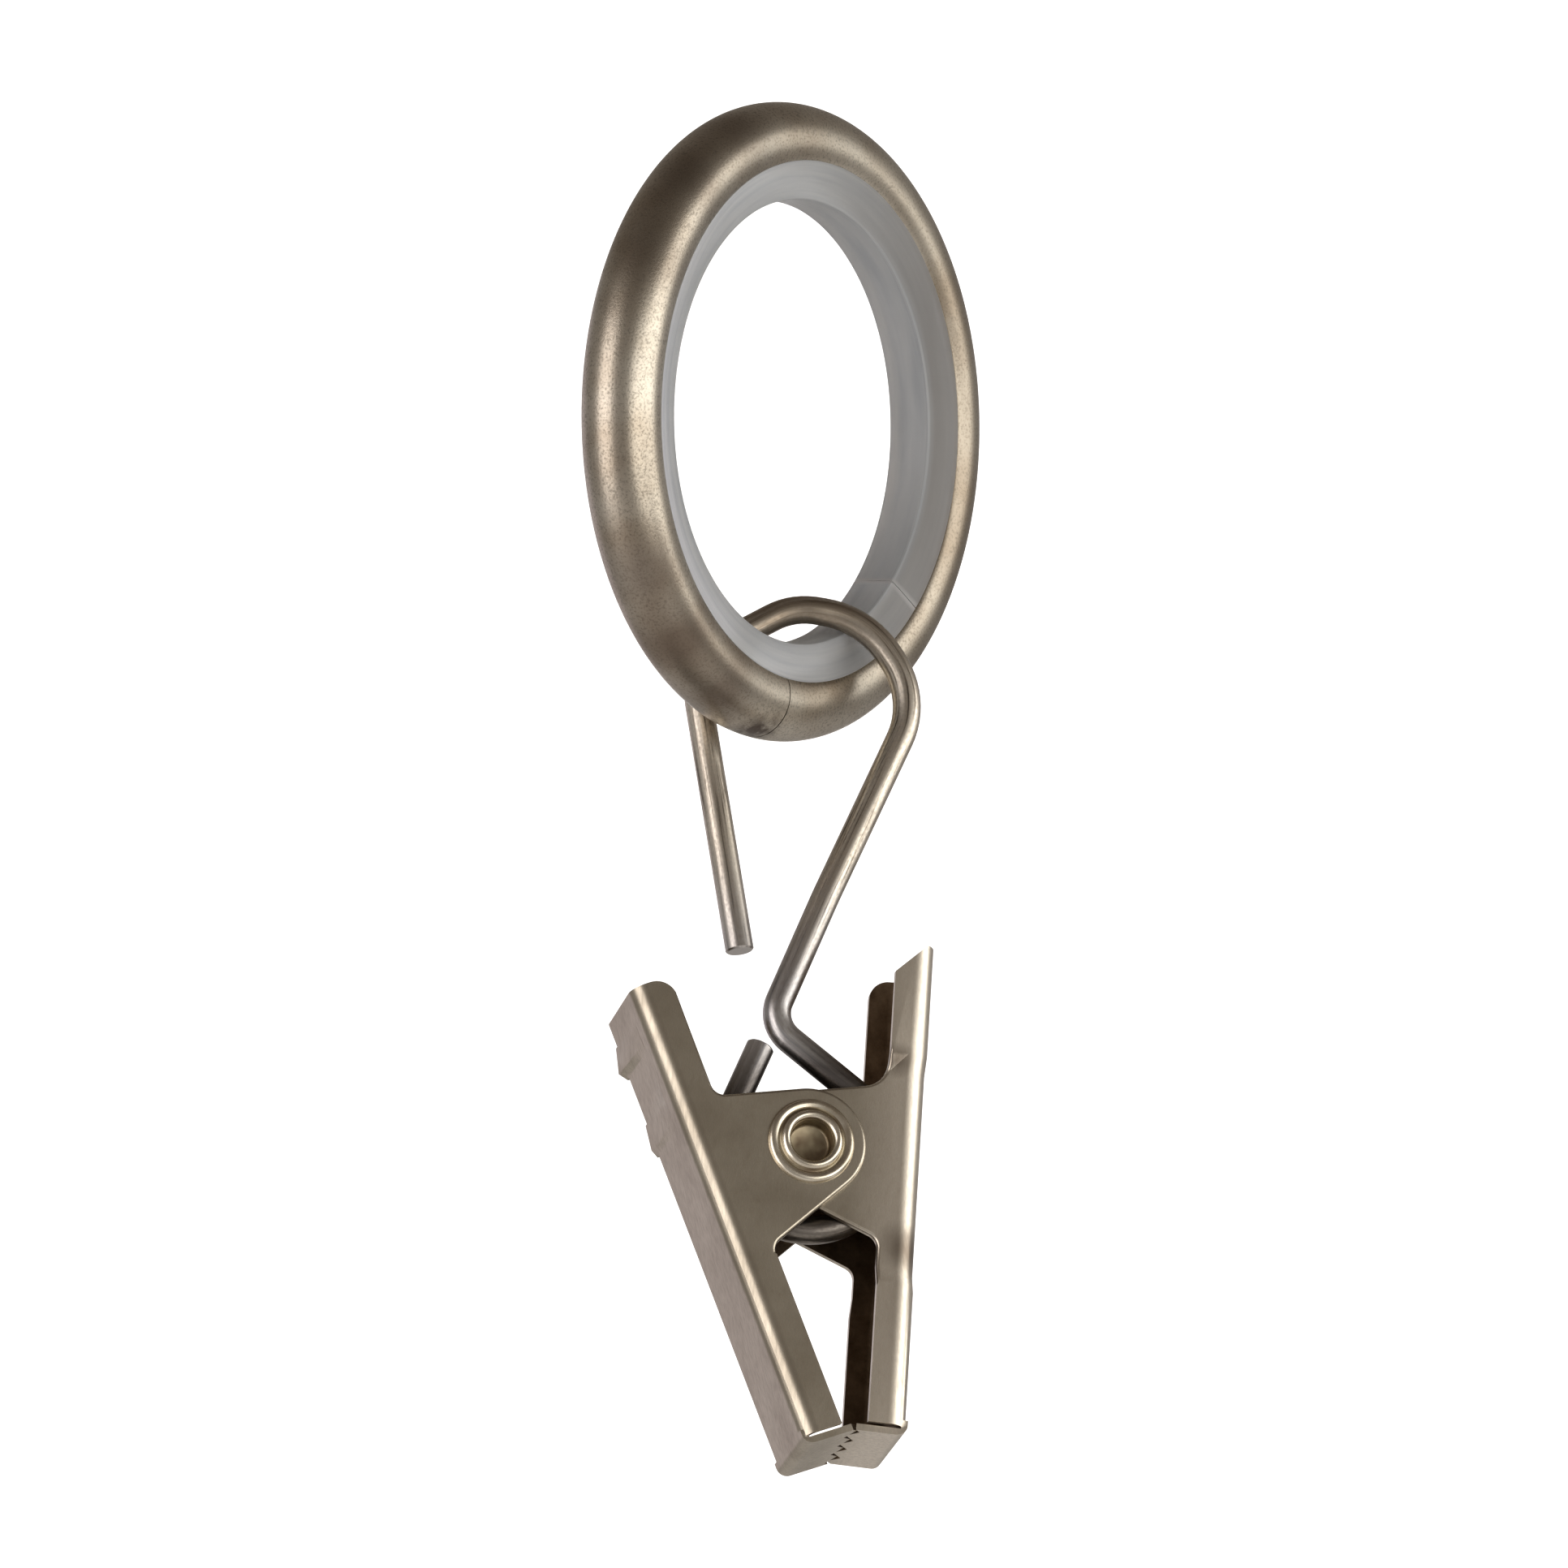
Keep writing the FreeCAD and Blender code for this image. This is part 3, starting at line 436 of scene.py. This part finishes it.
def patched_metal(name, patch, dark, light, fine, rough, polished):
    """Metal in patches: their noise, two colour stops, scale of the fine spots, two roughnesses."""
    s = Shade(name, metallic=1.0)
    at = s.place()
    s.set("Base Color", s.ramp(s.noise(at, *patch), dark, light))
    s.set("Roughness", s.ramp(s.noise(at, fine, 2.0, 0.5), (0.3, rough), (0.7, polished)))
    return s.material


def jaw_inside():
    """Inside of the sheet, unpolished, in a dark brown that is partly painted shade for the hollow
    of the clip.
    """
    return patched_metal("jaw_inside", (0.6, 4.0, 0.6), (0.3, (0.15, 0.10, 0.062)),
                         (0.7, (0.34, 0.255, 0.175)), 5.0, 0.55, 0.42)


def rivet_nickel():
    """Bright plate, browned in patches."""
    return patched_metal("rivet_nickel", (0.5, 2.0, 0.5), (0.35, (0.58, 0.51, 0.40)),
                         (0.62, (0.76, 0.70, 0.59)), 4.0, 0.27, 0.23)


def rivet_hollow():
    """Hollow of the rivet, unplated and darkened as painted shade, brown and olive; its groove
    takes the same colour.
    """
    return patched_metal("rivet_hollow", (0.7, 2.0, 0.5), (0.32, (0.20, 0.15, 0.10)),
                         (0.62, (0.42, 0.36, 0.25)), 3.0, 0.46, 0.40)


def spring_steel():
    """Spring wire, coloured very dark as painted shade for the coil inside the clip."""
    s = Shade("spring_steel", metallic=1.0)
    lines = s.noise(s.place("UV", (3, 12, 1)), 1.0, 3.0, 0.6)
    s.set("Base Color", s.ramp(lines, (0.3, (0.02, 0.016, 0.013)), (0.7, (0.07, 0.06, 0.05))))
    s.set("Roughness", s.ramp(lines, (0.3, 0.45), (0.7, 0.3)))
    return s.material


# Ring and liner
def make_ring():
    """Rolled ring: C section with rounded lips, from seam to seam."""
    reach = math.pi - LIP
    lip_r = SHEET / 2
    mid = TUBE_R - lip_r
    lip_x, lip_y = RING_R + mid * math.cos(reach), mid * math.sin(reach)
    section = arc(RING_R, 0, TUBE_R, -reach, reach, 44)
    section += arc(lip_x, lip_y, lip_r, reach, reach + math.pi, 6)[1:-1]
    section += arc(RING_R, 0, TUBE_R - SHEET, reach, -reach, 30)
    section += arc(lip_x, -lip_y, lip_r, -reach + math.pi, -reach + 2 * math.pi, 6)[1:-1]
    gap = SEAM_GAP / RING_R
    bm = lathe_part(section, SEAM_TURN + gap, SEAM_TURN + 2 * math.pi - gap, 220)
    piece("ring_tube", bm, (ring_nickel(),), "ring", "ring_shell")


def make_liner():
    """Liner: tapered head with soft corners, root in the slot."""
    section = [*LINER_HALF, *((r, -y) for r, y in reversed(LINER_HALF))]
    gap = SPLIT_GAP / LINER_BORE
    bm = lathe_part(section, SPLIT_TURN + gap, SPLIT_TURN + 2 * math.pi - gap, 200)
    piece("glide_liner", bm, (liner_plastic(),), "ring", "ring_liner", 30)


# Hook
def make_hook():
    """Hook wire in one sweep: open leg, arch, shoulder, long leg, kink, eye and stub."""
    touch = math.atan2(KINK[1], KINK[0]) - math.acos(EYE_R / math.hypot(*KINK))
    leave = math.atan2(STUB[1], STUB[0]) + math.acos(EYE_R / math.hypot(*STUB)) - 2 * math.pi
    flat = bent_line([*HOOK_CORNERS, (EYE_R * math.cos(touch), EYE_R * math.sin(touch), 0)])
    flat += [Vector(p) for p in arc(0, 0, EYE_R, touch, leave, 50)[1:]]
    flat.append(Vector(STUB))
    path = []
    for x, z in flat:
        share = min(1, (BOW_SIDE - x) / BOW_SIDE_FADE, (z - BOW_LOW) / BOW_LOW_FADE)
        path.append(Vector((x, BOW * max(0, share), z)))
    bm = tube(path, HOOK_R, 24, HOOK, 0.12, Vector((0, 1, 0)))
    piece("hook", bm, (wire_nickel(),), "hook", "hook_wire")


# Clip
def inside_face(face, jaw):
    """True for faces of a jaw that look into the hollow of the clip."""
    to_jaw = jaw.inverted()
    centre = to_jaw @ face.calc_center_median()
    normal = (to_jaw.to_3x3() @ face.normal).normalized()
    hollow = centre.x > -WEB_FACE - 0.2 and abs(centre.y) < HALF_DEPTH - 0.3
    on_web = normal.x > 0.5 and centre.x < 0.5 - WEB_FACE
    on_flange = normal.y * centre.y < -0.3
    on_tab = normal.z > 0.6 and centre.z < TAB_TOP
    return hollow and (on_web or on_flange or on_tab)


def on_front_rim(edge):
    """True for the sheet edges round a front face, above the jaw's tip."""
    to_clip = CLIP.inverted()
    turn = to_clip.to_3x3()
    faces_front = any((turn @ f.normal).normalized().y < -0.9 for f in edge.link_faces)
    spots = [to_clip @ v.co for v in edge.verts]
    return faces_front and all(p.y < RIM_DEPTH - HALF_DEPTH and RIM_LOW < p.z < RIM_HIGH
                               for p in spots)


def break_edges(bm, offset, clamp, wanted=None):
    """Rounds the sharp edges of a sheet, or those of them that are wanted."""
    edges = [e for e in bm.edges if len(e.link_faces) == 2 and e.calc_face_angle() > SHARP_ANGLE]
    if wanted:
        edges = [e for e in edges if wanted(e)]
    bmesh.ops.bevel(bm, geom=edges, offset=offset, offset_type="OFFSET", segments=ROUND_STEPS,
                    profile=0.5, affect="EDGES", clamp_overlap=clamp)


def make_jaw(node, name, body, jaw):
    """Jaw from its solid: flat faces joined, sheet edges broken, inside dark with painted shade."""
    bm = bmesh.new()
    bm.from_mesh(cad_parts[node].data)
    bmesh.ops.remove_doubles(bm, verts=bm.verts, dist=JOIN)
    bmesh.ops.dissolve_limit(bm, angle_limit=FLAT_ANGLE, verts=bm.verts, edges=bm.edges)
    break_edges(bm, FRONT_ROUND, False, on_front_rim)
    break_edges(bm, EDGE_ROUND, True)
    bmesh.ops.recalc_face_normals(bm, faces=bm.faces)
    for face in bm.faces:
        face.material_index = 1 if inside_face(face, jaw) else 0
    made = piece(name, bm, (JAW_METAL, JAW_INSIDE), body, node)
    flat = made.modifiers.new("flat", "WEIGHTED_NORMAL")
    flat.keep_sharp = True
    flat.weight = 90


def make_rivet():
    """Rivet: flange bead, groove and rolled collar at the front, low head at the back."""
    floor = -HALF_DEPTH - COLLAR_HEIGHT + HOLLOW_DEPTH
    profile = [(r, base + y) for base, part in ((floor, RIVET_HOLLOW), (-HALF_DEPTH, RIVET_FRONT),
                                                (HALF_DEPTH, RIVET_BACK)) for r, y in part]
    bm = bmesh.new()
    steps = 64
    rows = []
    for r, y in profile:
        angles = [2 * math.pi * i / steps for i in range(1 if r == 0 else steps)]
        rows.append([bm.verts.new(CLIP @ Vector((r * math.cos(a), y, r * math.sin(a))))
                     for a in angles])
    for row, (upper, lower) in enumerate(zip(rows, rows[1:])):
        for i in range(steps):
            k = (i + 1) % steps
            corners = [upper[i % len(upper)], upper[k % len(upper)],
                       lower[k % len(lower)], lower[i % len(lower)]]
            face = bm.faces.new(list(dict.fromkeys(corners)))
            face.material_index = 1 if row in BROWN_ROWS else 0
    materials = (rivet_nickel(), rivet_hollow())
    piece("rivet", bm, materials, "clip", "pivot_rivet", 50)


def make_spring():
    """Torsion spring with a straight leg reaching each jaw."""
    lean = math.sin(JAW_LEAN) * (SPRING_R - SPRING_WIRE / 2)
    leg_reach = (WEB_FACE + lean) / math.cos(JAW_LEAN) - SPRING_SEAT
    leg_turns = leg_reach / (2 * math.pi * SPRING_R)
    room = 2 * INNER_FACE - EYE_CLEAR - WIRE_DIA - SPRING_CLEAR - SPRING_BACK - SPRING_WIRE
    pitch = room / (SPRING_TURNS + 2 * leg_turns)
    front = WIRE_DIA / 2 + SPRING_CLEAR + SPRING_WIRE / 2 - EYE_Y + leg_turns * pitch
    along = Vector((SPRING_R, pitch / (2 * math.pi), 0)).normalized()
    leg = along * (leg_reach / along.x)
    steps = 40
    coil = []
    for i in range(SPRING_TURNS * steps + 1):
        a = 2 * math.pi * i / steps
        depth = front + pitch * a / (2 * math.pi)
        coil.append(Vector((SPRING_R * math.sin(a), depth, SPRING_R * math.cos(a))))
    path = [coil[0] - leg, *coil, coil[-1] + leg]
    bm = tube(path, SPRING_WIRE / 2, 14, CLIP, 0.05)
    spring = piece("spring", bm, (spring_steel(),), None, "jaw_spring")
    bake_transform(spring)


# Stage, light and camera
def sheet_of(name, corners, material):
    """A flat four-cornered sheet of the stage."""
    mesh = bpy.data.meshes.new(name)
    mesh.from_pydata([tuple(c) for c in corners], [], [tuple(range(4))])
    mesh.materials.append(material)
    obj = bpy.data.objects.new(name, mesh)
    bpy.context.scene.collection.objects.link(obj)


def make_stage():
    """Pale floor far under the hanging object and a lit white wall behind it."""
    pale = Shade("stage_pale", roughness=0.8, emission_color=(0.92, 0.91, 0.90, 1),
                 emission_strength=FLOOR_GLOW)
    cloud = pale.noise(pale.place("Object", (2, 2, 2)), 1.0)
    pale.set("Base Color", pale.ramp(cloud, (0.3, 0.80), (0.7, 0.82)))
    sheet_of("floor", [(x * FLOOR_HALF, y * FLOOR_HALF, FLOOR) for x, y in SQUARE], pale.material)
    lit = Shade("stage_lit", roughness=0.9, base_color=(0.9, 0.9, 0.9, 1),
                emission_color=(0.93, 0.93, 0.93, 1), emission_strength=1.0)
    middle = MIDDLE - VIEW * WALL_BACK
    corners = [middle + RIGHT * (x * WALL_HALF) + Vector((0, 0, z * WALL_HALF)) for x, z in SQUARE]
    sheet_of("wall", corners, lit.material)


def make_world():
    """Soft grey surroundings, brightest at the horizon and dim overhead."""
    world = bpy.data.worlds.new("studio")
    bpy.context.scene.world = world
    world.use_nodes = True
    tree = world.node_tree
    coord = tree.nodes.new("ShaderNodeTexCoord")
    split = tree.nodes.new("ShaderNodeSeparateXYZ")
    reach = tree.nodes.new("ShaderNodeMapRange")
    ramp = tree.nodes.new("ShaderNodeValToRGB")
    reach.inputs["From Min"].default_value = -1
    marks = ramp.color_ramp.elements
    while len(marks) < len(WORLD_LEVELS):
        marks.new(0.5)
    for mark, (position, colour) in zip(marks, WORLD_LEVELS):
        mark.position = position
        mark.color = (*colour, 1)
    tree.links.new(coord.outputs["Generated"], split.inputs["Vector"])
    tree.links.new(split.outputs["Z"], reach.inputs["Value"])
    tree.links.new(reach.outputs["Result"], ramp.inputs["Fac"])
    tree.links.new(ramp.outputs["Color"], tree.nodes["Background"].inputs["Color"])


def make_lamp(name, turn, rise, wide, tall, glow, tint):
    """A soft square lamp that faces the middle of the object."""
    data = bpy.data.lights.new(name, "AREA")
    data.shape = "RECTANGLE"
    data.size, data.size_y = wide, tall
    data.energy = glow * math.pi * wide * tall
    data.color = tint
    obj = bpy.data.objects.new(name, data)
    bpy.context.scene.collection.objects.link(obj)
    away = Matrix.Rotation(math.radians(turn), 3, "Z") @ VIEW
    place = MIDDLE + away * (LAMP_AWAY * math.cos(math.radians(rise)))
    place.z += LAMP_AWAY * math.sin(math.radians(rise))
    obj.location = place
    obj.rotation_euler = (MIDDLE - place).to_track_quat("-Z", "Y").to_euler()


def make_camera():
    """A long lens, level with the middle of the object."""
    data = bpy.data.cameras.new("camera")
    data.lens = CAMERA_LENS
    data.clip_start = CAMERA_NEAR
    obj = bpy.data.objects.new("camera", data)
    bpy.context.scene.collection.objects.link(obj)
    obj.location = MIDDLE + VIEW * CAMERA_AWAY
    obj.rotation_euler = (-VIEW).to_track_quat("-Z", "Y").to_euler()
    bpy.context.scene.camera = obj


JAW_METAL, JAW_INSIDE = jaw_nickel(), jaw_inside()

make_ring()
make_liner()
make_hook()
make_jaw("outer_jaw", "left_jaw", "clip", LEFT_JAW)
make_jaw("inner_jaw", "right_jaw", "jaw", RIGHT_JAW)
make_rivet()
make_spring()
make_stage()
make_world()
for lamp in LAMPS:
    make_lamp(*lamp)
make_camera()
bpy.context.scene.view_settings.view_transform = "Standard"
